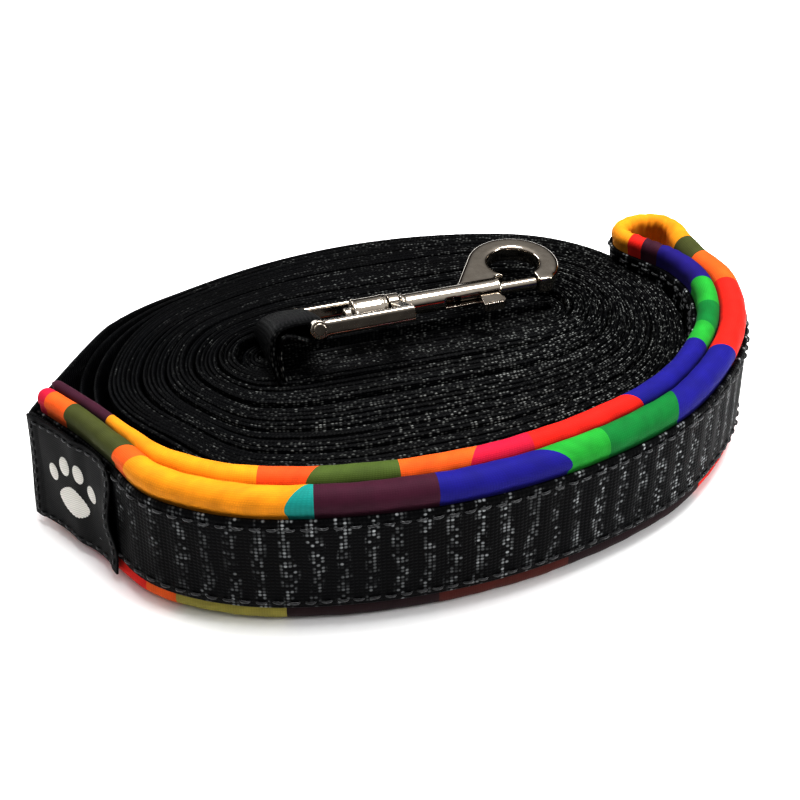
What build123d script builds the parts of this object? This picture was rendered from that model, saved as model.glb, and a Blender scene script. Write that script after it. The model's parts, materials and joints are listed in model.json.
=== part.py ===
from build123d import *
import os
from math import atan2, cos, degrees, radians, sin, sqrt

# A long training leash, put away: the flat webbing is wound on edge into an oval
# coil, the padded handle loop is folded flat round the coil's front, and the
# swivel bolt snap lies on top of the coil.  Origin: middle of the coil, on the
# surface it lies on.  +X along the coil, +Z up, the handle at -Y.  Millimetres.

os.makedirs("parts", exist_ok=True)

# ---- driving dimensions --------------------------------------------------------

webbing_width = 25.0
webbing_thickness = 1.3
gap = 0.3                        # air left between neighbouring soft pieces

coil_half_length = 76.0
coil_half_width = 50.0
coil_side_bow = 6.0              # the long sides bow out past the end arcs
coil_edge = 1.0                  # rounding of the coil's outer edges
recess_depth = 2.5               # the middle turns have sunk by this much
recess_center = (6.0, 9.0)
recess_half_length = 53.0
recess_half_width = 16.0
recess_side_bow = 0.5

tube_radius = 3.4                # the padded edges of the handle
pad_step = 0.5                   # the tubes stand out this far past the flat pad
cover_wall = 0.8
foam_clearance = 0.1
root_length = 26.0               # where both ends of the handle are sewn flat
root_squeeze = 4.0               # the two pads are sewn this much thinner together
root_gap = 0.05                  # webbing to the root's face
root_flat = 0.4                  # half the flat left on the root's rounded edges
root_angle = 211.0               # where the straight root leaves the left end
bend_angle = 12.0                # where the loop's free bend begins, right end
bend_radius = 5.3
flare_radius = 8.0
tail_angle = 135.0               # where the last turn leaves the coil
corner_radius = 5.0

label_length = 26.0
label_height = 23.0
label_thickness = 0.8
stitch_pitch = 3.4
stitch_length = 2.4
stitch_width = 0.6
stitch_height = 0.35
stitch_edge = 2.0                # from the webbing's edge to the seam
stitch_gap = 0.05

snap_clearance = 1.584           # the pin's low head above the sunken middle turns
pin_position = (-22.0, 6.9)
snap_yaw = -2.0                  # the snap is turned this far from the coil's X
eye_tilt = 27.0                  # the eye is rolled this far, near side up
eye_clearance = 0.3              # the webbing's edge to the arm
arm_width = 3.2
arm_thickness = 4.0
arm_reach = 1.0                  # arm end beyond the pin
arm_boss_wall = 1.0
pin_radius = 1.3
pin_head_overlap = 0.35          # the peened head past the pin's side
pin_head_height = 0.4
loop_clearance = 0.35
loop_turn = (-9.0, -2.5)         # where the loop turns down, from the pin
loop_skin = 0.2                  # the turn is this much flatter than the loop
leg_length = 6.0                 # the two layers that go down into the slit
floor_clearance = 0.1
base_start = 21.0                # the yoke's base, measured from the pin
base_thickness = 3.0
hub_wall = 1.6                   # round boss that carries the stud in the yoke's base
stud_radius = 2.0
stud_clearance = 0.08
collar_radius = 3.8
collar_length = 9.2
collar_play = 0.2
peen_radius = 1.9
peen_length = 2.0

barrel_wall = 1.15
barrel_length = 27.2
bore_depth = 23.0
gate_radius = 1.6
gate_clearance = 0.15
gate_travel = 9.0
gate_chamfer = 0.4
spring_room = 3.0                # the spring's length when it is pressed home
gate_opening = 10.5              # from the barrel's nose to the hook's tip
knob_length = 5.0
knob_setback = 1.2               # knob to the barrel's nose
knob_width = 2.2
knob_reach = 7.3                 # knob tip from the gate's axis
knob_neck = 0.4                  # the neck ends this far outside the barrel
knob_lean = 0.9                  # the thumb face leans forward by this much
knob_face = 1.2                  # height of the thumb face's upper slope
slot_clearance = 0.25
ring_outer_radius = 12.3
ring_inner_radius = 6.8
ring_thickness = 4.6
ring_overhang = 3.8              # the ring's circle passes the gate's axis by this much
ring_advance = 7.2               # ring centre beyond the barrel's nose
hook_edge = 1.3
hook_inner_edge = 0.6
gusset_setback = 9.5             # the gusset's rounded foot, behind the barrel's nose
gusset_foot_radius = 2.2
channel_clearance = 1.6          # the gate's channel above the gate
tip_reach = 4.6
tip_half_width = 2.3
tip_corner = 1.6
tip_gap = 0.1                    # the closed gate to the hook's tip
spring_wire = 0.3
spring_gap = 0.1
spring_turns = 4

# ---- derived sizes --------------------------------------------------------------

coil_end_radius = coil_half_width - coil_side_bow
oval_reach = coil_half_length - coil_end_radius
oval_drop = (oval_reach**2 - coil_side_bow**2) / (2 * coil_side_bow)
join_angle = degrees(atan2(oval_drop, oval_reach))
side_radius = coil_half_width + oval_drop

web_half = tube_radius - pad_step
webbing_margin = tube_radius + sqrt(tube_radius**2 - web_half**2) + gap
handle_height = webbing_width + 2 * webbing_margin
face_offset = web_half + webbing_thickness / 2          # pad's middle to its webbing's
inner_limb = gap + webbing_thickness + web_half          # pad's middle from the coil
outer_limb = inner_limb + 2 * tube_radius + gap
tube_low = tube_radius
tube_high = handle_height - tube_radius
webbing_top = webbing_margin + webbing_width
root_thickness = 4 * web_half - root_squeeze
root_middle = gap + webbing_thickness + root_thickness / 2
root_webbing = root_middle + root_thickness / 2 + webbing_thickness / 2 + root_gap
tail_offset = gap + webbing_thickness / 2
bore_radius = gate_radius + gate_clearance
barrel_radius = bore_radius + barrel_wall
recess_floor = webbing_width - recess_depth
eye_inside = webbing_width + 2 * eye_clearance
arm_end = eye_inside / 2 + arm_width
pin_head_radius = pin_radius + pin_head_overlap
pin_drop = (arm_end + pin_head_height) * sin(radians(eye_tilt))
pin_sweep = pin_head_radius * cos(radians(eye_tilt))
snap_height = recess_floor + snap_clearance + pin_drop + pin_sweep
ring_offset = ring_outer_radius - ring_overhang


def end_point(angle, offset, side=-1):
    """A point beside the coil's left (-1) or right (1) end."""
    reach = coil_end_radius + offset
    turn = radians(angle)
    return (side * oval_reach + reach * cos(turn), reach * sin(turn))


def draw_oval(half_length, half_width, side_bow):
    """A closed four-centre oval, whose sides bow out past its end arcs."""
    end_radius = half_width - side_bow
    reach = half_length - end_radius
    drop = (reach**2 - side_bow**2) / (2 * side_bow)
    join = degrees(atan2(drop, reach))
    side = half_width + drop
    CenterArc((reach, 0), end_radius, -join, 2 * join)
    CenterArc((0, -drop), side, join, 180 - 2 * join)
    CenterArc((-reach, 0), end_radius, 180 - join, 2 * join)
    CenterArc((0, drop), side, 180 + join, 180 - 2 * join)


def draw_limb(offset):
    """The handle's line round the coil's front, from the root to the free bend."""
    turn_left = 180 + join_angle - root_angle
    CenterArc((-oval_reach, 0), coil_end_radius + offset, root_angle, turn_left)
    CenterArc((0, oval_drop), side_radius + offset, 180 + join_angle, 180 - 2 * join_angle)
    CenterArc((oval_reach, 0), coil_end_radius + offset, -join_angle, join_angle + bend_angle)


# the free bend is drawn in a plane of its own, beside the coil's right end
limb_half_gap = (outer_limb - inner_limb) / 2
bend_middle = (inner_limb + outer_limb) / 2
bend_x, bend_y = end_point(bend_angle, bend_middle, 1)
bend_along = (-sin(radians(bend_angle)), cos(radians(bend_angle)))
bend_lift = bend_radius - limb_half_gap
flare_side = limb_half_gap + flare_radius
bend_reach = sqrt((flare_radius + bend_radius) ** 2 - (flare_side - bend_lift) ** 2)
flare_turn = degrees(atan2(bend_reach, flare_side - bend_lift))


def bend_plane(height):
    """X runs along the limbs and Y towards the coil."""
    return Plane(origin=(bend_x, bend_y, height), x_dir=(*bend_along, 0), z_dir=(0, 0, 1))


def draw_bend(offset):
    """The free bend's line: straight on the coil side, flared on the outer side."""
    Line((0, limb_half_gap + offset), (bend_reach, limb_half_gap + offset))
    bend_center = (bend_reach, -bend_lift)
    CenterArc(bend_center, bend_radius + offset, 90, -(180 + flare_turn))
    CenterArc((0, -flare_side), flare_radius - offset, 90 - flare_turn, flare_turn)


def finish(piece, name):
    piece.part.label = name
    export_step(piece.part, f"parts/{name}.step")
    print(f"{name}: {len(piece.part.solids())} solid(s), {piece.part.volume:.0f} mm3")


# ---- wound webbing --------------------------------------------------------------

with BuildPart() as coil_winding:
    with BuildSketch():
        with BuildLine():
            draw_oval(coil_half_length, coil_half_width, coil_side_bow)
        make_face()
    extrude(amount=webbing_width)
    rims = coil_winding.faces().sort_by(Axis.Z)
    fillet(rims[0].edges() + rims[-1].edges(), coil_edge)
    with BuildSketch(Plane.XY.offset(recess_floor).move(Location(recess_center))):
        with BuildLine():
            draw_oval(recess_half_length, recess_half_width, recess_side_bow)
        make_face()
    extrude(amount=2 * recess_depth, mode=Mode.SUBTRACT)
finish(coil_winding, "coil_winding")

# the last turn runs off the back of the coil to the corner of the handle's root
root_along = (sin(radians(root_angle)), -cos(radians(root_angle)))
tail_along = (-sin(radians(tail_angle)), cos(radians(tail_angle)))
tail_start = end_point(tail_angle, tail_offset)
root_start = end_point(root_angle, root_webbing)
between = (root_start[0] - tail_start[0], root_start[1] - tail_start[1])
cross = tail_along[0] * root_along[1] - tail_along[1] * root_along[0]
tail_run_length = (between[0] * root_along[1] - between[1] * root_along[0]) / cross
corner = (
    tail_start[0] + tail_run_length * tail_along[0],
    tail_start[1] + tail_run_length * tail_along[1],
)

with BuildPart() as tail_run:
    with BuildSketch():
        with BuildLine():
            CenterArc((0, -oval_drop), side_radius + tail_offset, 90, 90 - join_angle)
            CenterArc(
                (-oval_reach, 0),
                coil_end_radius + tail_offset,
                180 - join_angle,
                tail_angle - 180 + join_angle,
            )
            FilletPolyline(tail_start, corner, root_start, radius=corner_radius)
        trace(line_width=webbing_thickness)
    extrude(amount=webbing_width)
finish(tail_run, "tail_run")

# ---- padded handle --------------------------------------------------------------


def band(draw, offset, width, low, high, plane=Plane.XY, mode=Mode.ADD):
    """A wall of one thickness that stands along a drawn line."""
    with BuildSketch(plane.offset(low)) as wall:
        with BuildLine():
            draw(offset)
        trace(line_width=width)
    extrude(wall.sketch, amount=high - low, mode=mode)


def pad(draw, offset, radius, half, plane=Plane.XY, mode=Mode.ADD):
    """A flat pad with a round tube along its lower and its upper edge."""
    band(draw, offset, 2 * half, tube_low, tube_high, plane, mode)
    for height in (tube_low, tube_high):
        with BuildLine(plane.offset(height)) as edge_line:
            draw(offset)
        spine = edge_line.wires()[0]
        with BuildSketch(Plane(origin=spine @ 0, z_dir=spine % 0)) as tube:
            Circle(radius)
        sweep(tube.sketch, path=spine, mode=mode)


def cover_and_foam(draw, offset, name, plane=Plane.XY):
    inside = cover_wall
    with BuildPart() as cover:
        pad(draw, offset, tube_radius, web_half, plane)
        pad(draw, offset, tube_radius - inside, web_half - inside, plane, Mode.SUBTRACT)
    finish(cover, f"{name}_cover")
    inside = cover_wall + foam_clearance
    with BuildPart() as foam:
        pad(draw, offset, tube_radius - inside, web_half - inside, plane)
    finish(foam, f"{name}_foam")


cover_and_foam(draw_limb, inner_limb, "handle_inner")
cover_and_foam(draw_limb, outer_limb, "handle_outer")
cover_and_foam(draw_bend, 0, "handle_bend", bend_plane(0))

with BuildPart() as handle_inner_webbing:
    band(draw_limb, inner_limb - face_offset, webbing_thickness, webbing_margin, webbing_top)
finish(handle_inner_webbing, "handle_inner_webbing")

with BuildPart() as handle_outer_webbing:
    band(draw_limb, outer_limb + face_offset, webbing_thickness, webbing_margin, webbing_top)
finish(handle_outer_webbing, "handle_outer_webbing")

with BuildPart() as handle_bend_webbing:
    band(draw_bend, face_offset, webbing_thickness, webbing_margin, webbing_top, bend_plane(0))
finish(handle_bend_webbing, "handle_bend_webbing")

# both ends of the handle strip, sewn flat on each other beside the coil's left end
root_plane = Plane(
    origin=(*end_point(root_angle, root_middle), 0), x_dir=(*root_along, 0), z_dir=(0, 0, 1)
)
with BuildPart() as handle_root:
    with BuildSketch(root_plane):
        with Locations((root_length / 2 + gap, 0)):
            Rectangle(root_length, root_thickness)
    extrude(amount=handle_height)
    long_edges = handle_root.edges().filter_by(Axis(root_plane.origin, root_plane.x_dir))
    fillet(long_edges, root_thickness / 2 - root_flat)
finish(handle_root, "handle_root")

# ---- label and stitching --------------------------------------------------------

label_gap = stitch_height + 2 * stitch_gap
label_middle = root_webbing + (webbing_thickness + label_thickness) / 2 + label_gap
label_low = (handle_height - label_height) / 2
label_plane = Plane(
    origin=(*end_point(root_angle, label_middle), 0), x_dir=(*root_along, 0), z_dir=(0, 0, 1)
)
with BuildPart() as label:
    with BuildSketch(label_plane.offset(label_low)):
        with Locations((label_length / 2, 0)):
            Rectangle(label_length, label_thickness)
    extrude(amount=label_height)
finish(label, "label")

# running stitches on the label's face, just inside its four edges
label_face = Plane(
    origin=label_plane.from_local_coords((label_length / 2, 0, label_low + label_height / 2)),
    x_dir=(*root_along, 0),
    z_dir=label_plane.y_dir,
)
face_height = (label_thickness + stitch_height) / 2
seam_half_length = label_length / 2 - stitch_edge
seam_half_height = label_height / 2 - stitch_edge
label_columns = int(2 * seam_half_length / stitch_pitch)
label_rows = int(2 * seam_half_height / stitch_pitch)
with BuildPart(label_face.offset(face_height)) as label_stitching:
    with GridLocations(stitch_pitch, 2 * seam_half_height, label_columns, 2):
        Box(stitch_length, stitch_width, stitch_height)
    with GridLocations(2 * seam_half_length, stitch_pitch, 2, label_rows):
        Box(stitch_width, stitch_length, stitch_height)
finish(label_stitching, "label_stitching")

# two bar tacks through the root, under the label
tack_plane = Plane(
    origin=label_plane.from_local_coords((label_length / 2, 0, webbing_width / 2)),
    x_dir=(*root_along, 0),
    z_dir=label_plane.y_dir,
)
tack_height = label_thickness / 2 + stitch_gap + stitch_height / 2
tack_rows = int((webbing_width - 2 * stitch_edge) / stitch_width / 2)
with BuildPart(tack_plane.offset(-tack_height)) as root_tack:
    with GridLocations(label_length - 8 * stitch_width, 2 * stitch_width, 2, tack_rows):
        Box(stitch_length, stitch_width, stitch_height)
finish(root_tack, "root_tack")


def seam_stitches(center, radius, start, span):
    """Running stitches in two rows along one arc of the handle's webbing."""
    count = int(radians(span) * radius / stitch_pitch)
    step = span / count
    rows = (webbing_margin + stitch_edge, webbing_top - stitch_edge)
    for height in rows:
        with Locations((*center, height)):
            with PolarLocations(radius, count, start + step / 2, step * (count - 1), endpoint=True):
                Box(stitch_height, stitch_length, stitch_width)


seam_offset = outer_limb + face_offset + (webbing_thickness + stitch_height) / 2
end_seam = coil_end_radius + seam_offset
side_seam = side_radius + seam_offset
left_turn = 180 + join_angle - root_angle
with BuildPart() as handle_stitching:
    seam_stitches((-oval_reach, 0), end_seam, root_angle, left_turn)
    seam_stitches((0, oval_drop), side_seam, 180 + join_angle, 180 - 2 * join_angle)
    seam_stitches((oval_reach, 0), end_seam, -join_angle, join_angle + bend_angle)
finish(handle_stitching, "handle_stitching")

# ---- bolt snap: frames ----------------------------------------------------------

turn = radians(snap_yaw)
tilt = radians(eye_tilt)
snap_origin = (*pin_position, snap_height)
snap_x = Vector(cos(turn), sin(turn), 0)
snap_y = Vector(-sin(turn), cos(turn), 0)
snap_z = Vector(0, 0, 1)
eye_normal = snap_y * sin(tilt) + snap_z * cos(tilt)

snap_flat = Plane(origin=snap_origin, x_dir=snap_x, z_dir=snap_z)
snap_across = Plane(origin=snap_origin, x_dir=snap_y, z_dir=snap_x)
eye_flat = Plane(origin=snap_origin, x_dir=snap_x, z_dir=eye_normal)
eye_side = Plane(origin=snap_origin, x_dir=snap_x, z_dir=eye_flat.y_dir.reverse())

base_end = base_start + base_thickness

# ---- webbing loop round the eye's pin -------------------------------------------

loop_inner_radius = pin_radius + loop_clearance
loop_outer_radius = loop_inner_radius + webbing_thickness
turn_radius = loop_outer_radius - loop_skin
loop_leg = 2 * webbing_thickness + loop_skin

with BuildPart() as end_loop:
    with BuildSketch(eye_side):
        Circle(loop_outer_radius)
        with Locations(loop_turn):
            Circle(turn_radius)
        make_hull()
        leg_x = loop_turn[0] - turn_radius + loop_leg / 2
        with Locations((leg_x, loop_turn[1] - leg_length / 2)):
            Rectangle(loop_leg, leg_length)
        Circle(loop_inner_radius, mode=Mode.SUBTRACT)
    extrude(amount=webbing_width / 2, both=True)
    split(bisect_by=Plane.XY.offset(recess_floor + floor_clearance), keep=Keep.TOP)
finish(end_loop, "end_loop")

# ---- swivel eye -----------------------------------------------------------------

with BuildPart() as swivel_yoke:
    with BuildSketch(eye_flat):
        with Locations(((base_end - arm_reach) / 2, 0)):
            Rectangle(base_end + arm_reach, 2 * arm_end)
        with Locations(((base_start - arm_reach) / 2, 0)):
            Rectangle(base_start + arm_reach, eye_inside, mode=Mode.SUBTRACT)
    extrude(amount=arm_thickness / 2, both=True)
    fillet(swivel_yoke.edges().filter_by(Axis(snap_origin, snap_x)), arm_width / 4)
    with BuildSketch(eye_side.offset(eye_inside / 2), eye_side.offset(-arm_end)):
        Circle(pin_radius + arm_boss_wall)
    extrude(amount=arm_width)
    with BuildSketch(snap_across.offset(base_start)):
        Circle(stud_radius + stud_clearance + hub_wall)
    extrude(amount=base_thickness)
    with BuildSketch(snap_across.offset(base_start - 1)):
        Circle(stud_radius + stud_clearance)
    extrude(amount=base_thickness + 2, mode=Mode.SUBTRACT)
    with BuildSketch(eye_side):
        Circle(pin_radius)
    extrude(amount=arm_end + 1, both=True, mode=Mode.SUBTRACT)
finish(swivel_yoke, "swivel_yoke")

with BuildPart() as eye_pin:
    with BuildSketch(eye_side):
        Circle(pin_radius)
    extrude(amount=arm_end, both=True)
    with BuildSketch(eye_side.offset(arm_end), eye_side.offset(-arm_end - pin_head_height)):
        Circle(pin_head_radius)
    extrude(amount=pin_head_height)
finish(eye_pin, "eye_pin")

# ---- hook -----------------------------------------------------------------------

collar_start = base_start - collar_play - collar_length
barrel_start = base_end + collar_play
nose = barrel_start + barrel_length
tip_start = nose + gate_opening
ring_center = (nose + ring_advance, ring_offset)
bore_start = nose - bore_depth
gate_start = bore_start + gate_travel + spring_room
knob_end = nose - knob_setback
knob_start = knob_end - knob_length
tip_end = tip_start + tip_reach
channel_top = gate_radius + channel_clearance
under = -2 * ring_outer_radius

with BuildPart() as snap_hook:
    with BuildSketch(snap_flat):
        with Locations(ring_center):
            Circle(ring_outer_radius)
        with Locations((nose - gusset_setback, barrel_radius - gusset_foot_radius)):
            Circle(gusset_foot_radius)
        make_hull()
        with Locations(ring_center):
            Circle(ring_inner_radius, mode=Mode.SUBTRACT)
    extrude(amount=ring_thickness / 2, both=True)
    reach = ring_inner_radius + 2 * hook_inner_edge
    ring_middle = snap_flat.from_local_coords((*ring_center, 0))
    rims = snap_hook.faces().filter_by(Axis.Z).edges()
    fillet(rims.filter_by(lambda rim: (rim @ 0.5 - ring_middle).length < reach), hook_inner_edge)
    rims = snap_hook.faces().filter_by(Axis.Z).edges()
    fillet(rims.filter_by(lambda rim: (rim @ 0.5 - ring_middle).length > reach), hook_edge)
    with BuildSketch(snap_flat):
        with BuildLine():
            Polyline(
                (nose + under, 0),
                (nose, 0),
                (nose, channel_top),
                (tip_start, channel_top),
                (tip_start, -tip_half_width),
                (nose - under, -tip_half_width),
                (nose - under, under),
                (nose + under, under),
                close=True,
            )
        make_face()
    extrude(amount=ring_thickness, both=True, mode=Mode.SUBTRACT)
    with BuildSketch(snap_flat):
        with Locations(((tip_start + tip_end) / 2, 0)):
            RectangleRounded(tip_reach, 2 * tip_half_width, tip_corner)
    extrude(amount=ring_thickness / 2, both=True)
    with BuildSketch(snap_across.offset(barrel_start)):
        Circle(barrel_radius)
    extrude(amount=barrel_length)
    with BuildSketch(snap_across.offset(collar_start)):
        Circle(collar_radius)
    extrude(amount=collar_length)
    with BuildSketch(snap_across.offset(collar_start - peen_length)):
        Circle(peen_radius)
    extrude(amount=peen_length)
    with BuildSketch(snap_across.offset(collar_start)):
        Circle(stud_radius)
    extrude(amount=barrel_start - collar_start + 1)
    with BuildSketch(snap_across.offset(bore_start)):
        Circle(bore_radius)
    extrude(amount=bore_depth + 1, mode=Mode.SUBTRACT)
    slot_start = knob_start - gate_travel - slot_clearance
    with BuildSketch(snap_flat):
        with Locations(((slot_start + knob_end + slot_clearance) / 2, -barrel_radius)):
            Rectangle(knob_end + slot_clearance - slot_start, 2 * barrel_radius)
    extrude(amount=knob_width / 2 + slot_clearance, both=True, mode=Mode.SUBTRACT)
finish(snap_hook, "snap_hook")

# ---- gate, knob and spring ------------------------------------------------------

with BuildPart() as gate_pin:
    with BuildSketch(snap_across.offset(gate_start)):
        Circle(gate_radius)
    extrude(amount=tip_start - tip_gap - gate_start)
    chamfer(gate_pin.faces().sort_by(Axis(snap_origin, snap_x))[-1].edges(), gate_chamfer)
finish(gate_pin, "gate_pin")

with BuildPart() as thumb_knob:
    with BuildSketch(snap_flat):
        with BuildLine():
            Polyline(
                (knob_start, -gate_radius),
                (knob_end, -gate_radius),
                (knob_end, -barrel_radius - knob_neck),
                (knob_end + knob_lean, -knob_reach + knob_face),
                (knob_end, -knob_reach),
                (knob_start - knob_neck, -knob_reach),
                (knob_start, -barrel_radius - knob_neck),
                close=True,
            )
        make_face()
    extrude(amount=knob_width / 2, both=True)
    with BuildSketch(snap_across.offset(knob_start - 1)):
        Circle(gate_radius)
    extrude(amount=knob_length + 3, mode=Mode.SUBTRACT)
finish(thumb_knob, "thumb_knob")

spring_radius = bore_radius - spring_wire - spring_gap
spring_foot = bore_start + spring_wire + spring_gap
spring_space = gate_start - spring_wire - spring_gap - spring_foot
with BuildPart() as bolt_spring:
    with BuildLine():
        Helix(
            pitch=spring_space / spring_turns,
            height=spring_space,
            radius=spring_radius,
            center=snap_across.from_local_coords((0, 0, spring_foot)),
            direction=snap_x,
        )
    wire_start = bolt_spring.pending_edges[0] @ 0
    wire_direction = bolt_spring.pending_edges[0] % 0
    with BuildSketch(Plane(origin=wire_start, z_dir=wire_direction)):
        Circle(spring_wire)
    sweep(is_frenet=True)
finish(bolt_spring, "bolt_spring")

print("hook ring centre", snap_flat.from_local_coords((*ring_center, 0)))
print("swivel axis", snap_x, "eye pin axis", eye_flat.y_dir.reverse())
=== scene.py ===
import json
import math
import random

import bpy
import numpy as np
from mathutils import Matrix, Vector


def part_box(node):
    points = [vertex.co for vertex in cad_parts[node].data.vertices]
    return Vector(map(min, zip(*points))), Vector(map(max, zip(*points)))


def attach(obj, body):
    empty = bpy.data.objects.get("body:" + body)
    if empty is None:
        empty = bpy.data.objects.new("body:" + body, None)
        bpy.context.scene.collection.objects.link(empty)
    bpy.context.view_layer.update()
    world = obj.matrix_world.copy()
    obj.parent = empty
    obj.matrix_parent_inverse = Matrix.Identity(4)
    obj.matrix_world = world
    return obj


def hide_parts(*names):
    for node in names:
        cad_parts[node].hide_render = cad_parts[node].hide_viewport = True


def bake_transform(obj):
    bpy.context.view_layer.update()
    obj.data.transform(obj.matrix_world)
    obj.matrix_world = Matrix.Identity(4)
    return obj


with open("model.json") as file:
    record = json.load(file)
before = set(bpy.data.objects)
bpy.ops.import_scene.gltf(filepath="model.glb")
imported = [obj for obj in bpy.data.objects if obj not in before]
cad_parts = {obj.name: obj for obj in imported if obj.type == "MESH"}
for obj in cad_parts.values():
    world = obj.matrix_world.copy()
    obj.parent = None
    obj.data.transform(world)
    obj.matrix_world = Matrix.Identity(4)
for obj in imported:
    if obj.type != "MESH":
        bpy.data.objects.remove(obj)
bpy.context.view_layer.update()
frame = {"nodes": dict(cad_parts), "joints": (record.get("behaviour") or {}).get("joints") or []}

mm = 0.001

# The training leash, put away: flat webbing wound on edge, a padded handle folded
# round the front of the coil, and a nickel plated bolt snap lying on top.


# small helpers

def linear(value):
    # an sRGB hex colour as the linear colour that a shader reads
    parts = [int(value[i:i + 2], 16) / 255 for i in (1, 3, 5)]
    return [p / 12.92 if p <= 0.04045 else ((p + 0.055) / 1.055) ** 2.4 for p in parts] + [1.0]


def addNode(tree, kind, values=None, links=None, **options):
    node = tree.nodes.new(kind)
    for name, option in options.items():
        setattr(node, name, option)
    for socket, value in (values or {}).items():
        node.inputs[socket].default_value = value
    for socket, source in (links or {}).items():
        tree.links.new(source, node.inputs[socket])
    return node


def newMaterial(name):
    material = bpy.data.materials.new(name)
    material.use_nodes = True
    tree = material.node_tree
    tree.nodes.clear()
    shader = addNode(tree, "ShaderNodeBsdfPrincipled")
    addNode(tree, "ShaderNodeOutputMaterial", links={"Surface": shader.outputs[0]})
    return material, tree, shader


def smooth(value, low, high):
    share = min(1.0, max(0.0, (value - low) / (high - low)))
    return share * share * (3 - 2 * share)


def bump(angle, middle, reach):
    # 1 at the middle, 0 from reach on, both in degrees
    away = abs((angle - middle + 180) % 360 - 180)
    return 1 - smooth(away, 0, reach)


def clearSelection():
    bpy.ops.object.select_all(action="DESELECT")
    bpy.context.view_layer.objects.active = None


def makeActive(piece):
    clearSelection()
    piece.select_set(True)
    bpy.context.view_layer.objects.active = piece


def applyModifiers(piece):
    makeActive(piece)
    for modifier in list(piece.modifiers):
        bpy.ops.object.modifier_apply(modifier=modifier.name)


def smoothShade(piece, angle=40):
    makeActive(piece)
    bpy.ops.object.shade_smooth_by_angle(angle=math.radians(angle))


def dress(piece, body, material, nodes=()):
    piece.data.materials.clear()
    piece.data.materials.append(material)
    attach(piece, body)
    if nodes:
        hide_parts(*nodes)


def ringMesh(name, rings, closed=False):
    # a tube through rings of points, with both ends closed and a map named weave that
    # gives metres along it and metres round it
    rings = np.asarray(rings, dtype=float)
    count, around = rings.shape[:2]
    faces = []
    for i in range(count if closed else count - 1):
        here, there = i * around, (i + 1) % count * around
        for j in range(around):
            k = (j + 1) % around
            faces.append((here + j, here + k, there + k, there + j))
    if not closed:
        faces.append(tuple(reversed(range(around))))
        faces.append(tuple((count - 1) * around + j for j in range(around)))
    mesh = bpy.data.meshes.new(name)
    mesh.from_pydata(rings.reshape(-1, 3).tolist(), [], faces)
    middles = rings.mean(axis=1)
    along = np.concatenate([[0], np.cumsum(np.linalg.norm(np.diff(middles, axis=0), axis=1))])
    sides = np.linalg.norm(np.roll(rings, -1, axis=1) - rings, axis=2).mean(axis=0)
    across = np.concatenate([[0], np.cumsum(sides)])
    places = mesh.uv_layers.new(name="weave")
    flat = np.zeros((len(mesh.loops), 2))
    quads = (count if closed else count - 1) * around
    index = np.arange(quads)
    row, column = index // around, index % around
    ends = np.append(along, along[-1] + (along[1] - along[0]))
    for corner, (down, right) in enumerate(((0, 0), (0, 1), (1, 1), (1, 0))):
        flat[index * 4 + corner, 0] = ends[row + down]
        flat[index * 4 + corner, 1] = across[column + right]
    places.data.foreach_set("uv", flat.ravel())
    piece = bpy.data.objects.new(name, mesh)
    bpy.context.scene.collection.objects.link(piece)
    makeActive(piece)
    bpy.ops.object.mode_set(mode="EDIT")
    bpy.ops.mesh.select_all(action="SELECT")
    bpy.ops.mesh.normals_make_consistent(inside=False)
    bpy.ops.object.mode_set(mode="OBJECT")
    smoothShade(piece, 60)
    return piece, along[-1]


# materials

def knots(tree, place, along, across, softness=0.12):
    # the weave's knots, one in each cell, and a fixed random number for each cell
    cells = addNode(
        tree, "ShaderNodeVectorMath", {1: (1 / (along * mm), 1 / (across * mm), 1)}, {0: place},
        operation="MULTIPLY",
    )
    whole = addNode(tree, "ShaderNodeVectorMath", links={0: cells.outputs[0]}, operation="FLOOR")
    part = addNode(tree, "ShaderNodeVectorMath", links={0: cells.outputs[0]}, operation="FRACTION")
    away = addNode(
        tree, "ShaderNodeVectorMath", {1: (0.5, 0.5, 0.0)}, {0: part.outputs[0]}, operation="DISTANCE"
    )
    knot = addNode(tree, "ShaderNodeMapRange", {1: 0.5, 2: softness}, {0: away.outputs["Value"]})
    luck = addNode(tree, "ShaderNodeTexWhiteNoise", links={0: whole.outputs[0]}, noise_dimensions="2D")
    return knot.outputs[0], luck.outputs["Value"]


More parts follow.
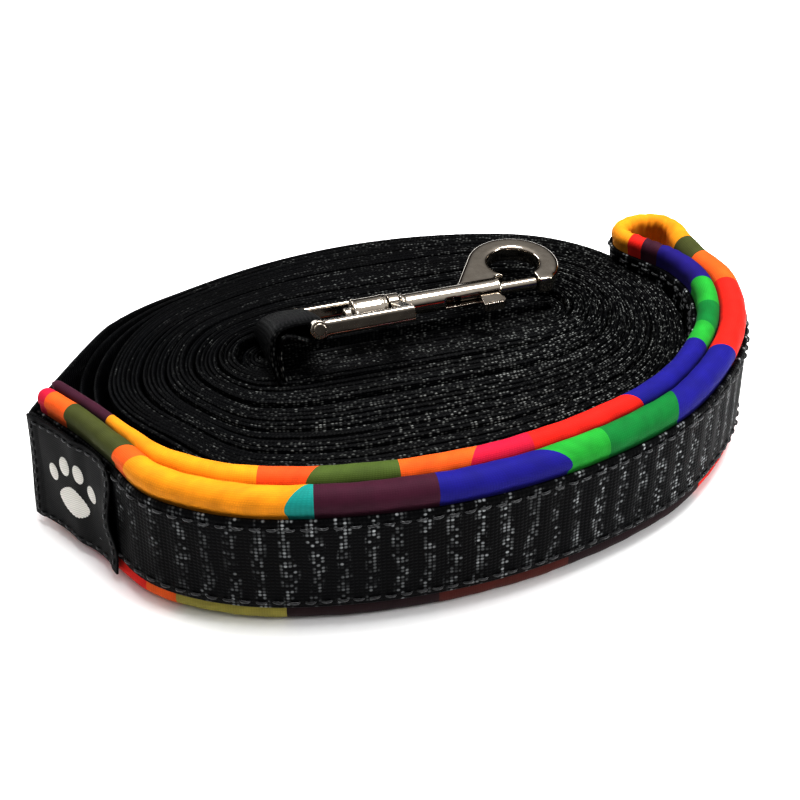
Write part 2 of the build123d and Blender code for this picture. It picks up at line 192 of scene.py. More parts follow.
def wovenPolypropylene(name, look):
    # black polypropylene webbing in plain weave: dull black, with painted highlights as rows of small bright
    # knots in its base colour
    material, tree, shader = newMaterial(name)
    place = addNode(tree, "ShaderNodeUVMap", uv_map="weave").outputs[0]
    knot, luck = knots(tree, place, look["pick"], look["end"], look["soft"])
    # painted highlight: a random share of the knots gets a glint
    lit = addNode(tree, "ShaderNodeMapRange", {1: look["dark"], 2: 1.0}, {0: luck})
    glint = addNode(tree, "ShaderNodeMath", links={0: knot, 1: lit.outputs[0]}, operation="MULTIPLY")
    if look.get("band"):
        # the face puckers between its seams, so the painted glints of the knots are gathered in upright
        # bands of painted light
        split = addNode(tree, "ShaderNodeSeparateXYZ", links={0: place})
        wander = addNode(tree, "ShaderNodeTexNoise", {"Scale": 90.0, "Detail": 1.0}, {0: place})
        shift = addNode(
            tree, "ShaderNodeMath", {1: look["wander"] * mm}, {0: wander.outputs[0], 2: split.outputs[0]},
            operation="MULTIPLY_ADD",
        )
        wave = addNode(
            tree, "ShaderNodeMath", {1: 2 * math.pi / (look["band"] * mm)}, {0: shift.outputs[0]},
            operation="MULTIPLY",
        )
        crest = addNode(tree, "ShaderNodeMath", links={0: wave.outputs[0]}, operation="SINE")
        band = addNode(tree, "ShaderNodeMapRange", {1: -0.2, 2: 0.8}, {0: crest.outputs[0]})
        glint = addNode(
            tree, "ShaderNodeMath", links={0: glint.outputs[0], 1: band.outputs[0]}, operation="MULTIPLY"
        )
    # lint lightens the webbing here and there, and a noise makes the painted glints stronger in patches
    dust = addNode(tree, "ShaderNodeTexNoise", {"Scale": 38.0, "Detail": 3.0}, {0: place})
    glintPatches = addNode(tree, "ShaderNodeTexNoise", {"Scale": 55.0, "Detail": 2.0}, {0: place})
    # and painted light: the knots on the side facing the lamps get the brightest painted glints
    body = addNode(tree, "ShaderNodeTexCoord").outputs["Object"]
    side = addNode(tree, "ShaderNodeVectorMath", {1: look["litSide"]}, {0: body}, operation="DOT_PRODUCT")
    both = addNode(
        tree, "ShaderNodeMath", links={0: glintPatches.outputs[0], 1: side.outputs["Value"]}, operation="ADD"
    )
    # painted light: how strongly the knots glint, from the noise patches and the lit side
    glintStrength = addNode(
        tree, "ShaderNodeMapRange", {1: 0.35, 2: 0.75, 3: look["dimGlint"], 4: 1.0}, {0: both.outputs[0]}
    )
    glint = addNode(
        tree, "ShaderNodeMath", links={0: glint.outputs[0], 1: glintStrength.outputs[0]}, operation="MULTIPLY"
    )
    ground = addNode(tree, "ShaderNodeValToRGB", links={0: dust.outputs[0]})
    for stop, (share, shade) in zip(ground.color_ramp.elements, ((0.35, "yarn"), (0.75, "dust"))):
        stop.position = share
        stop.color = linear(look[shade])
    # painted highlight: the glint colour is mixed into the base colour over the lint
    colour = addNode(
        tree, "ShaderNodeMix", {7: linear(look["glintPaint"])}, {0: glint.outputs[0], 6: ground.outputs[0]},
        data_type="RGBA",
    )
    relief = addNode(tree, "ShaderNodeBump", {"Strength": 0.5, "Distance": 0.0002}, {"Height": knot})
    tree.links.new(colour.outputs[2], shader.inputs["Base Color"])
    tree.links.new(relief.outputs[0], shader.inputs["Normal"])
    shader.inputs["Roughness"].default_value = look["roughness"]
    shader.inputs["Specular IOR Level"].default_value = look["specular"]
    shader.inputs["Sheen Weight"].default_value = look["sheen"]
    shader.inputs["Sheen Roughness"].default_value = 0.4
    return material


coilLook = {
    "yarn": "#020203",      # spun-dyed black
    "dust": "#07080b",
    "glintPaint": "#8d8f8c",     # painted highlight: the colour that a yarn float's glint paints into the base colour
    "pick": 0.95,           # mm from one weft pick to the next
    "end": 0.62,            # mm from one warp yarn to the next
    "soft": 0.1,            # how far into its cell a knot's light reaches
    "dark": 0.55,           # share of the knots that stay dark
    "dimGlint": 0.04,           # strength of the painted glints away from the lit side and the glint patches
    # painted light: the coil's glints are brightest on its front right, the side facing the lamps
    "litSide": (2.6, -2.2, 0.0),
    "roughness": 0.5,
    "specular": 0.06,
    "sheen": 0.0,
}
faceLook = dict(
    coilLook, pick=1.0, end=0.95, dark=0.35, dimGlint=0.03, glintPaint="#a9acad", band=6.0, wander=5.0, soft=0.22,
    # painted light: the face's glints are brightest towards the front right and towards its top
    litSide=(1.5, -1.0, 4.0),
)


def printedJersey(name, look):
    # printed polyester jersey: matt, saturated colour with a fine knit and a soft bloom
    material, tree, shader = newMaterial(name)
    patch = addNode(tree, "ShaderNodeVertexColor", layer_name="patch")
    place = addNode(tree, "ShaderNodeUVMap", uv_map="weave").outputs[0]
    knot, _ = knots(tree, place, look["wale"], look["course"], 0.0)
    mottle = addNode(tree, "ShaderNodeTexNoise", {"Scale": 220.0, "Detail": 4.0}, {0: place})
    uneven = addNode(tree, "ShaderNodeMapRange", {1: 0.3, 2: 0.7, 3: 0.7, 4: 0.92}, {0: mottle.outputs[0]})
    stitch = addNode(tree, "ShaderNodeMapRange", {3: 0.86, 4: 1.0}, {0: knot})
    both = addNode(
        tree, "ShaderNodeMath", links={0: uneven.outputs[0], 1: stitch.outputs[0]}, operation="MULTIPLY"
    )
    colour = addNode(
        tree, "ShaderNodeVectorMath", links={0: patch.outputs[0], 3: both.outputs[0]}, operation="SCALE"
    )
    relief = addNode(tree, "ShaderNodeBump", {"Strength": 0.35, "Distance": 0.0001}, {"Height": knot})
    tree.links.new(colour.outputs[0], shader.inputs["Base Color"])
    tree.links.new(relief.outputs[0], shader.inputs["Normal"])
    shader.inputs["Roughness"].default_value = 0.7
    shader.inputs["Specular IOR Level"].default_value = 0.2
    shader.inputs["Sheen Weight"].default_value = 0.03
    shader.inputs["Sheen Roughness"].default_value = 0.5
    return material


def nickelPlate(name, look):
    # nickel plate on a zinc casting: bright, warm grey, slightly rippled under the plating
    material, tree, shader = newMaterial(name)
    place = addNode(tree, "ShaderNodeTexCoord").outputs["Object"]
    ripple = addNode(tree, "ShaderNodeTexNoise", {"Scale": look["ripple"], "Detail": 2.0}, {0: place})
    haze = addNode(tree, "ShaderNodeTexNoise", {"Scale": 420.0, "Detail": 3.0}, {0: place})
    rough = addNode(
        tree, "ShaderNodeMapRange", {1: 0.35, 2: 0.75, 3: look["polished"], 4: look["worn"]},
        {0: haze.outputs[0]},
    )
    tint = addNode(tree, "ShaderNodeValToRGB", links={0: haze.outputs[0]})
    for stop, (share, shade) in zip(tint.color_ramp.elements, ((0.3, "bright"), (0.8, "dull"))):
        stop.position = share
        stop.color = linear(look[shade])
    relief = addNode(
        tree, "ShaderNodeBump", {"Strength": 0.12, "Distance": 0.0004}, {"Height": ripple.outputs[0]}
    )
    tree.links.new(tint.outputs[0], shader.inputs["Base Color"])
    tree.links.new(rough.outputs[0], shader.inputs["Roughness"])
    tree.links.new(relief.outputs[0], shader.inputs["Normal"])
    shader.inputs["Metallic"].default_value = 1.0
    return material


plateLook = {"bright": "#b9b1a6", "dull": "#a69d92", "ripple": 150.0, "polished": 0.1, "worn": 0.17}


def polyesterThread(name, colour, roughness):
    # lock-stitch polyester thread: two plies twisted, with a silky light along each ply
    material, tree, shader = newMaterial(name)
    place = addNode(tree, "ShaderNodeTexCoord").outputs["Object"]
    ply = addNode(
        tree, "ShaderNodeTexWave", {"Scale": 900.0, "Distortion": 2.0}, {0: place},
        bands_direction="DIAGONAL",
    )
    relief = addNode(
        tree, "ShaderNodeBump", {"Strength": 0.5, "Distance": 0.0001}, {"Height": ply.outputs[1]}
    )
    shade = addNode(tree, "ShaderNodeMapRange", {3: 0.75, 4: 1.0}, {0: ply.outputs[1]})
    tint = addNode(
        tree, "ShaderNodeVectorMath", {0: linear(colour)[:3]}, {3: shade.outputs[0]}, operation="SCALE"
    )
    tree.links.new(tint.outputs[0], shader.inputs["Base Color"])
    tree.links.new(relief.outputs[0], shader.inputs["Normal"])
    shader.inputs["Roughness"].default_value = roughness
    shader.inputs["Sheen Weight"].default_value = 0.2
    return material


def damaskLabel(name, look):
    # woven damask label: a close black satin whose weft shows as very fine cross lines
    material, tree, shader = newMaterial(name)
    place = addNode(tree, "ShaderNodeUVMap", uv_map="weave").outputs[0]
    knot, _ = knots(tree, place, look["weft"], look["warp"], 0.0)
    shade = addNode(tree, "ShaderNodeValToRGB", links={0: knot})
    for stop, tone in zip(shade.color_ramp.elements, ("ground", "float")):
        stop.color = linear(look[tone])
    relief = addNode(tree, "ShaderNodeBump", {"Strength": 0.5, "Distance": 0.0001}, {"Height": knot})
    tree.links.new(shade.outputs[0], shader.inputs["Base Color"])
    tree.links.new(relief.outputs[0], shader.inputs["Normal"])
    shader.inputs["Roughness"].default_value = 0.45
    shader.inputs["Specular IOR Level"].default_value = 0.09
    return material


coilWebbing = wovenPolypropylene("polypropyleneWebbing", coilLook)
faceWebbing = wovenPolypropylene("polypropyleneWebbingFace", faceLook)
coverCloth = printedJersey("printedPolyesterJersey", {"wale": 0.55, "course": 0.45})
nickel = nickelPlate("nickelPlatedZinc", plateLook)
springSteel = nickelPlate("springSteelWire", dict(plateLook, bright="#9a9a98", dull="#6f6f6e"))
blackThread = polyesterThread("blackPolyesterThread", "#1b1d20", 0.3)
whiteThread = polyesterThread("whitePolyesterThread", "#d9d6cf", 0.55)
labelLook = {"ground": "#020203", "float": "#0a0b0d", "weft": 0.35, "warp": 0.6}
labelCloth = damaskLabel("wovenDamaskLabel", labelLook)
print("materials made")


# the coil of webbing

hank = {
    "turns": 34,                    # passes of webbing from the slit to the rim
    "thickness": 1.3,
    "fill": 0.92,                   # share of its room that the webbing fills where it is tight
    "sideBow": 6.0,                 # the long sides bow out past the end arcs
    "slitCentre": (6.1, 8.4),
    "slitHalfLength": 39.5,
    "slitHalfWidth": 1.6,
    "slitBow": 0.6,
    "slitTurn": -2.7,               # degrees
    "gaps": {5: 1.3, 9: 0.5, 14: 0.7, 20: 0.5, 25: 0.8},    # extra room there, in turns
    "sunkTurns": 5,
    "sunkHeight": 23.4,
    "lift": (0.2, 1.3),             # how high the turns stand off the floor
    "ripple": 0.22,
    "looseTurns": 2,
    "bulge": 4.8,                   # the loose turns swing out at the left end
    "bulgeAt": (165, 62),
    "valley": 7.0,                  # and leave a valley in front of them
    "valleyAt": (214, 46),
    "tailAngle": 135,
    "tailOffset": 0.95,
    "seed": 11,
}
_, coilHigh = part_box("coil_winding")
halfLong, halfWide, webbingWide = [value / mm for value in coilHigh]


def ovalPoint(angle, long, wide, bow):
    # where a four-centre oval's outward normal has this angle
    endRadius = wide - bow
    reach = long - endRadius
    drop = (reach ** 2 - bow ** 2) / (2 * bow)
    join = math.degrees(math.atan2(drop, reach))
    turn = (angle + 180) % 360 - 180
    across, up = math.cos(math.radians(turn)), math.sin(math.radians(turn))
    if abs(turn) < join:
        return np.array([reach + endRadius * across, endRadius * up])
    if abs(turn) > 180 - join:
        return np.array([-reach + endRadius * across, endRadius * up])
    return np.array([(wide + drop) * across, (wide + drop) * up - math.copysign(drop, turn)])


def outerPoint(angle):
    return ovalPoint(angle, halfLong, halfWide, hank["sideBow"])


def slitPoint(angle):
    turn = math.radians(hank["slitTurn"])
    x, y = ovalPoint(
        angle - hank["slitTurn"], hank["slitHalfLength"], hank["slitHalfWidth"], hank["slitBow"]
    )
    return np.array([
        hank["slitCentre"][0] + x * math.cos(turn) - y * math.sin(turn),
        hank["slitCentre"][1] + x * math.sin(turn) + y * math.cos(turn),
    ])


def room(turn):
    # how much room the turns up to this one take, in turns
    return turn + sum(extra * smooth(turn, at - 0.4, at + 0.4) for at, extra in hank["gaps"].items())


def stripOutline(steps):
    # half the outline of webbing stood on edge, as (across, share of the height)
    rise = [(-1.0, 0.02 + 0.96 * i / steps) for i in range(steps + 1)]
    crown = [(-0.62, 0.995), (0.0, 1.0), (0.62, 0.995)]
    fall = [(1.0, share) for _, share in reversed(rise)]
    foot = [(across, 1 - share) for across, share in reversed(crown)]
    return rise + crown + fall + foot


def standingRing(low, top, normal, half, lowZ, topZ, outline):
    ring = []
    for across, share in outline:
        x, y = low + (top - low) * share + normal * across * half
        ring.append((x * mm, y * mm, (lowZ + (topZ - lowZ) * share) * mm))
    return ring


def unit(vector):
    return vector / np.linalg.norm(vector)


def soften(points, rounds=3):
    # rounds the corners of a line by cutting them
    for _ in range(rounds):
        cut = [points[0]]
        for a, b in zip(points, points[1:]):
            cut += [a * 0.75 + b * 0.25, a * 0.25 + b * 0.75]
        points = cut + [points[-1]]
    return points


def coilRings():
    chance = random.Random(hank["seed"])
    last = hank["turns"] + hank["tailAngle"] / 360
    full = room(last)
    lifts = [chance.uniform(*hank["lift"]) for _ in range(hank["turns"] + 3)]
    phases = [chance.uniform(0, 2 * math.pi) for _ in range(hank["turns"] + 3)]
    quarter = [*np.linspace(0, 66, 15), *np.linspace(67.5, 87.5, 9), *np.linspace(87.9, 90, 6)]
    half = quarter + [180 - a for a in reversed(quarter[:-1])]
    angles = half + [180 + a for a in half[1:-1]]
    outline = stripOutline(2)
    rings = []
    for whole in range(hank["turns"] + 1):
        for angle in angles:
            turn = whole + angle / 360
            if not 0.5 <= turn <= last:
                continue
            share = room(turn) / full
            normal = np.array([math.cos(math.radians(angle)), math.sin(math.radians(angle))])
            inside, outside = slitPoint(angle), outerPoint(angle)
            space = float((outside - inside) @ normal)
            loose = max(0.0, (turn - (last - 0.917 - hank["looseTurns"])) / hank["looseTurns"])
            outside = outside + normal * hank["bulge"] * loose * bump(angle, *hank["bulgeAt"])
            packed = 1 - smooth(turn, last - 2.9, last - 2.3)
            outside = outside - normal * hank["valley"] * share * packed * bump(angle, *hank["valleyAt"])
            outside = outside + normal * hank["tailOffset"] * smooth(turn, last - 0.3, last - 0.1)
            place = inside + (outside - inside) * share
            half = min(hank["thickness"], hank["fill"] * space / full) / 2
            lift = lifts[whole] * (1 - angle / 360) + lifts[whole + 1] * angle / 360
            lift += hank["ripple"] * math.sin(2 * math.radians(angle) + phases[whole]) * math.sin(
                math.radians(angle) / 2
            )
            sunk = 1 - smooth(turn, hank["sunkTurns"] - 0.5, hank["sunkTurns"] + 0.3)
            tall = webbingWide + (hank["sunkHeight"] - webbingWide) * sunk
            lift = max(0.02, lift * (1 - sunk))
            rings.append(standingRing(place, place, normal, half, lift, lift + tall, outline))
    return rings, place, lift


# the handle's line: both limbs lie along the front of the coil, and the free bend leans
# over its rim at the right end.  Each row is mm along the coil's edge from where the
# straight root begins, then how far the inner and the outer limb stand off, top and foot

handle = {
    "rootAngle": 211,
    "limbs": [
        (-28, 0.9, 4.5, 3.4, 8.3),
        (-14, 0.9, 4.5, 3.6, 8.3),
        (0, 1.7, 5.6, 4.2, 9.6),
        (12, 3.1, 8.6, 4.5, 11.3),
        (29, 4.2, 10.2, 4.8, 12.0),
        (53, 4.8, 10.8, 4.9, 12.2),
        (78, 5.2, 11.3, 5.0, 12.3),
        (103, 5.0, 11.2, 5.0, 12.3),
        (127, 4.5, 10.7, 4.9, 12.2),
        (147, 3.8, 10.0, 4.8, 12.0),
        (161, 4.9, 11.0, 4.9, 12.0),
        (172, 5.4, 11.6, 4.9, 12.0),
        (181, 3.9, 10.0, 4.7, 11.8),
    ],
    "bend": [                       # top and foot of the free bend, x and y
        ((76.4, 8.2), (79.3, 9.5)),
        ((73.4, 13.0), (78.3, 14.2)),
        ((71.6, 17.4), (77.5, 19.0)),
        ((73.6, 20.8), (79.2, 23.8)),
        ((79.0, 22.4), (83.2, 25.3)),
        ((84.6, 20.8), (87.0, 23.0)),
        ((87.0, 16.2), (88.0, 18.2)),
        ((86.2, 10.4), (87.2, 12.4)),
    ],
    "tubeRadius": (2.75, 3.3),      # the inner and the outer tube
    "rootRadius": (1.35, 2.35),     # the inner and the outer tube where they are sewn down
    "bendRadius": 2.4,
    "padStep": 0.5,                 # the tubes stand out this far past the pad
    "rootPadHalf": 1.1,
    "wrinkle": 0.16,                # depth of the gathers round the bend
    "gather": 3.1,                  # mm from one gather to the next
    "webbingHalf": 0.62,
    "stitchPitch": 3.4,
    "stitchEdge": 2.0,
}
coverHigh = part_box("handle_outer_cover")[1][2] / mm


def edgePoint(distance):
    # a point on the coil's edge and the normal there; below 0 the root runs straight on
    endRadius = halfWide - hank["sideBow"]
    reach = halfLong - endRadius
    drop = (reach ** 2 - hank["sideBow"] ** 2) / (2 * hank["sideBow"])
    join = math.degrees(math.atan2(drop, reach))
    leftLength = math.radians(180 + join - handle["rootAngle"]) * endRadius
    sideLength = math.radians(180 - 2 * join) * (halfWide + drop)
    if distance < leftLength:
        angle = handle["rootAngle"] + math.degrees(max(0, distance) / endRadius)
    elif distance < leftLength + sideLength:
        angle = 180 + join + math.degrees((distance - leftLength) / (halfWide + drop))
    else:
        angle = 360 - join + math.degrees((distance - leftLength - sideLength) / endRadius)
    normal = np.array([math.cos(math.radians(angle)), math.sin(math.radians(angle))])
    along = np.array([-normal[1], normal[0]])
    return outerPoint(angle) + along * min(0, distance), normal


def stations():
    # the top and the foot of the padded strip, from its inner end round to its outer end
    limbs = []
    for distance, innerTop, outerTop, innerLow, outerLow in handle["limbs"]:
        place, normal = edgePoint(distance)
        limbs.append([place + normal * off for off in (innerTop, outerTop, innerLow, outerLow)])
    tops = [row[0] for row in limbs] + [np.array(top) for top, _ in handle["bend"]]
    lows = [row[2] for row in limbs] + [np.array(low) for _, low in handle["bend"]]
    tops += [row[1] for row in reversed(limbs)]
    lows += [row[3] for row in reversed(limbs)]
    return tops, lows


def curveThrough(points, steps=24):
    # a smooth line through the points
    ends = [2 * points[0] - points[1], *points, 2 * points[-1] - points[-2]]
    line = []
    for a, b, c, d in zip(ends, ends[1:], ends[2:], ends[3:]):
        for t in np.arange(steps) / steps:
            square, cube = 2 * a - 5 * b + 4 * c - d, 3 * b - a - 3 * c + d
            line.append(0.5 * (2 * b + (c - a) * t + square * t ** 2 + cube * t ** 3))
    return np.array(line + [points[-1]])


topPoints, lowPoints = stations()
topLine = curveThrough(topPoints)
lowLine = curveThrough(lowPoints)
topAlong = np.concatenate([[0], np.cumsum(np.linalg.norm(np.diff(topLine, axis=0), axis=1))])
stripLength = topAlong[-1]
bendMiddle = topAlong[24 * (len(handle["limbs"]) + 3)]
bendHalf = bendMiddle - topAlong[24 * (len(handle["limbs"]) - 1)]


def lineAt(line, distance):
    place = np.array([np.interp(distance, topAlong, line[:, k]) for k in (0, 1)])
    ahead = np.array([np.interp(distance + 0.6, topAlong, line[:, k]) for k in (0, 1)])
    behind = np.array([np.interp(distance - 0.6, topAlong, line[:, k]) for k in (0, 1)])
    along = unit(ahead - behind)
    return place, np.array([-along[1], along[0]])


def tubeRadius(distance):
    root = smooth(min(distance, stripLength - distance), 18, 48)
    atBend = 1 - smooth(abs(distance - bendMiddle), bendHalf * 0.5, bendHalf * 1.3)
    side = 0 if distance < bendMiddle else 1
    radius = handle["rootRadius"][side]
    radius += (handle["tubeRadius"][side] - radius) * root
    return radius + (handle["bendRadius"] - radius) * atBend, atBend


def padHalf(distance):
    root = smooth(min(distance, stripLength - distance), 18, 48)
    radius, _ = tubeRadius(distance)
    return handle["rootPadHalf"] + (radius - handle["padStep"] - handle["rootPadHalf"]) * root


def onStrip(distance, height, off):
    # a point beside the strip: mm along it, mm above the floor, mm out from its middle
    distance = min(max(distance, 0.0), stripLength)
    radius, _ = tubeRadius(distance)
    share = (height - radius) / (coverHigh - 2 * radius)
    top, topNormal = lineAt(topLine, distance)
    low, lowNormal = lineAt(lowLine, distance)
    normal = unit(lowNormal + (topNormal - lowNormal) * share)
    return low + (top - low) * share + normal * off, normal


# patches of the cover's print along its top tube: where each begins, how far its edge
# slants across the tube, and its colour; then the same for the lower tube, unslanted,
# where the two shade patches are painted shade, not print

inks = {
    "plum": "#4a1830", "amber": "#f0a01c", "peach": "#ea6226", "sage": "#56682c", "orange": "#ee6c22",
    "crimson": "#d31c46", "scarlet": "#ea2a1c", "violet": "#23127a", "blue": "#201a8a", "lime": "#2ba53c",
    "green": "#06803a", "teal": "#1f9a92", "olive": "#4f5426", "brown": "#5c261e",
    # shade is painted shade: a near-black put on the lower tube where it lies in shade
    "khaki": "#a59c4e", "shade": "#2c151a",
}
topPatches = [
    (0, 0, "plum"), (21, 0, "amber"), (61, 0, "peach"), (73, 2, "sage"), (91, 0, "orange"),
    (108, 2, "crimson"), (121, 0, "scarlet"), (149, -2, "blue"), (179, 0, "lime"), (187, 1, "green"),
    (197, 0, "lime"), (208, 1, "violet"), (226, 0, "plum"), (231, 0, "scarlet"), (235, 0, "amber"),
    (268, 0, "olive"), (276, 0, "orange"), (290, 1, "scarlet"), (321, -1, "blue"), (346, 2, "green"),
    (368, 0, "lime"), (382, -4, "blue"), (408, 0, "plum"), (434, 0, "teal"), (437, 3, "amber"),
    (475, 1, "orange"), (480, 1, "olive"), (500, 0, "orange"), (507, 0, "crimson"),
]
lowPatches = [
    (0, "plum"), (40, "amber"), (90, "sage"), (140, "scarlet"), (190, "blue"), (225, "amber"),
    # painted shade: the shade patches darken the lower tube from 335 to 377 mm and from 408 to 441 mm
    (265, "lime"), (300, "scarlet"), (335, "shade"), (377, "brown"), (408, "shade"), (441, "khaki"),
    (465, "orange"), (472, "scarlet"), (485, "crimson"), (498, "peach"),
]


def makeCover():
    # a padded strip with a tube along its upper and its lower edge, in printed cloth
    starts = [start for start, _, _ in topPatches]
    slants = [slant for _, slant, _ in topPatches]
    spots = sorted(set(np.round(np.arange(0.0, stripLength, 0.55), 3)) | {float(s) for s in starts})
    spots = [s for s in spots if s < stripLength - 0.3] + [stripLength]
    arc = [math.radians(-32 + 244 * i / 15) for i in range(16)]
    rings = []
    for spot in spots:
        radius, atBend = tubeRadius(spot)
        slant = np.interp(spot, starts, slants)
        half = padHalf(spot)
        end = math.sqrt(smooth(min(spot, stripLength - spot), -0.4, 2.2))
        fold = math.cos(2 * math.pi * spot / handle["gather"] + 0.8 * math.sin(spot * 0.9))
        ring = []
        for upper in (True, False):
            for turn in arc:
                angle = turn if upper else turn + math.pi
                across, rise = math.cos(angle), math.sin(angle)
                inward = 0.5 - 0.5 * across
                pinch = 1 - handle["wrinkle"] * atBend * (0.25 + 0.75 * inward) * (0.5 + 0.5 * fold)
                slack = 1 + 0.018 * math.sin(spot * 0.31 + 2 * across)
                slack += 0.012 * math.sin(spot * 0.83 + 4 * rise)
                size = radius * pinch * slack * end
                reach = spot + slant * across if upper else spot
                middle = coverHigh - radius if upper else radius
                point, _ = onStrip(reach, middle, size * across)
                ring.append((point[0] * mm, point[1] * mm, (middle + size * rise) * mm))
            for share in (0.25, 0.5, 0.75):
                height = coverHigh - radius * 1.6 - (coverHigh - radius * 3.2) * share
                height = height if upper else coverHigh - height
                point, _ = onStrip(spot, height, (-half if upper else half) * end)
                ring.append((point[0] * mm, point[1] * mm, height * mm))
        rings.append(ring)
    cover, _ = ringMesh("handle_cover", rings)
    around = len(rings[0])
    colours = np.ones((len(cover.data.loops), 4))
    lowStarts = [start for start, _ in lowPatches]
    for i in range(len(spots) - 1):
        middle = (spots[i] + spots[i + 1]) / 2
        topInk = topPatches[np.searchsorted(starts, middle) - 1][2]
        lowInk = lowPatches[np.searchsorted(lowStarts, middle) - 1][1]
        for j in range(around):
            upper = j < 17 or j >= around - 2
            face = (i * around + j) * 4
            colours[face:face + 4] = linear(inks[topInk if upper else lowInk])
    caps = (len(spots) - 1) * around * 4
    colours[caps:] = linear(inks["plum"])
    patch = cover.data.color_attributes.new(name="patch", type="FLOAT_COLOR", domain="CORNER")
    patch.data.foreach_set("color", colours.ravel())
    dress(
        cover, "leash", coverCloth,
        ("handle_inner_cover", "handle_outer_cover", "handle_bend_cover", "handle_inner_foam",
         "handle_outer_foam", "handle_bend_foam", "handle_root"),
    )
    return cover


cover = makeCover()
print("handle cover made")

webbingLow = (coverHigh - webbingWide) / 2
webbingTop = webbingLow + webbingWide


def faceRipple(distance, share):
    # shallow upright puckers, gone at the sewn edges
    middle = math.sin(math.pi * min(1, max(0, share)))
    return 0.2 * middle * math.sin(2 * math.pi * distance / 6.0 + 1.5 * math.sin(distance * 0.07))


def makeHandleWebbing():
    outline = stripOutline(9)
    rings = []
    for spot in np.arange(0.4, stripLength, 0.75):
        ring = []
        for across, share in outline:
            height = webbingLow + webbingWide * share
            off = padHalf(spot) + 0.08 + handle["webbingHalf"] * (1 + across) + faceRipple(spot, share)
            point, _ = onStrip(spot, height, off)
            ring.append((point[0] * mm, point[1] * mm, height * mm))
        rings.append(ring)
    piece, length = ringMesh("handle_webbing", rings)
    dress(
        piece, "leash", faceWebbing,
        ("handle_inner_webbing", "handle_outer_webbing", "handle_bend_webbing"),
    )
    return piece


makeHandleWebbing()
print("handle webbing made")


def makeCoil():
    rings, tailStart, tailLift = coilRings()
    # the last turn leaves the back of the coil, goes round the root's end and under the label
    outline = stripOutline(2)
    away = np.array([-math.sin(math.radians(hank["tailAngle"])), math.cos(math.radians(hank["tailAngle"]))])
    off = 3.15
    lowEnd = [onStrip(stripLength - back, webbingLow, off)[0] for back in (1.0, 16.0)]
    topEnd = [onStrip(stripLength - back, webbingTop, off)[0] for back in (1.0, 16.0)]
    outward = unit(lowEnd[0] - lowEnd[1])
    lowPath = soften([tailStart, tailStart + away * 8, lowEnd[0] + outward * 2.6, lowEnd[0], lowEnd[1]], 4)
    topPath = soften([tailStart, tailStart + away * 8, topEnd[0] + outward * 2.6, topEnd[0], topEnd[1]], 4)
    for i in range(1, len(lowPath) - 1):
        along = unit(lowPath[i + 1] - lowPath[i - 1])
        raised = smooth(i / len(lowPath), 0.05, 0.7)
        lift = tailLift + (webbingLow - tailLift) * raised
        normal = -np.array([-along[1], along[0]])
        rings.append(standingRing(lowPath[i], topPath[i], normal, 0.62, lift, lift + webbingWide, outline))
    coil, length = ringMesh("wound_webbing", rings)
    dress(coil, "leash", coilWebbing, ("coil_winding", "tail_run"))
    print("wound webbing:", round(length, 2), "m")
    return coil


makeCoil()
print("coil made")


# the webbing's end, looped round the swivel's pin

joints = {joint["name"]: joint for joint in frame["joints"]}
pinPlace = np.array(joints["eye_pivot"]["pos_m"]) / mm
pinAlong = np.array(joints["eye_pivot"]["axis"])
snapAlong = np.array(joints["swivel"]["axis"])
eyeUp = np.cross(pinAlong, snapAlong)

loop = {
    "line": [       # mm from the pin, along the snap and up, then how far it is let down to the coil
        (-9.6, -4.2, 1.0), (-10.9, -3.4, 0.7), (-11.4, -1.6, 0.3), (-10.8, 0.3, 0.05), (-8.9, 1.9, 0),
        (-5.4, 2.6, 0), (-1.8, 2.5, 0), (0.4, 2.3, 0), (1.9, 1.3, 0), (2.3, -0.2, 0), (1.6, -1.8, 0),
        (-0.2, -2.4, 0), (-2.6, -2.0, 0), (-4.9, -0.9, 0), (-6.9, -0.1, 0), (-8.6, -0.4, 0.02),
        (-9.7, -1.8, 0.3), (-9.2, -3.2, 0.7), (-8.4, -4.0, 1.0),
    ],
    "half": 0.64,
    "droop": 1.0,                   # the roll's edges sag by this much
    "ground": 24.6,                 # where the roll's foot stands
    "legTo": (-27.0, 10.2, 13.0),   # where both layers go down into the slit
    "legHalfWidth": 5.5,
}


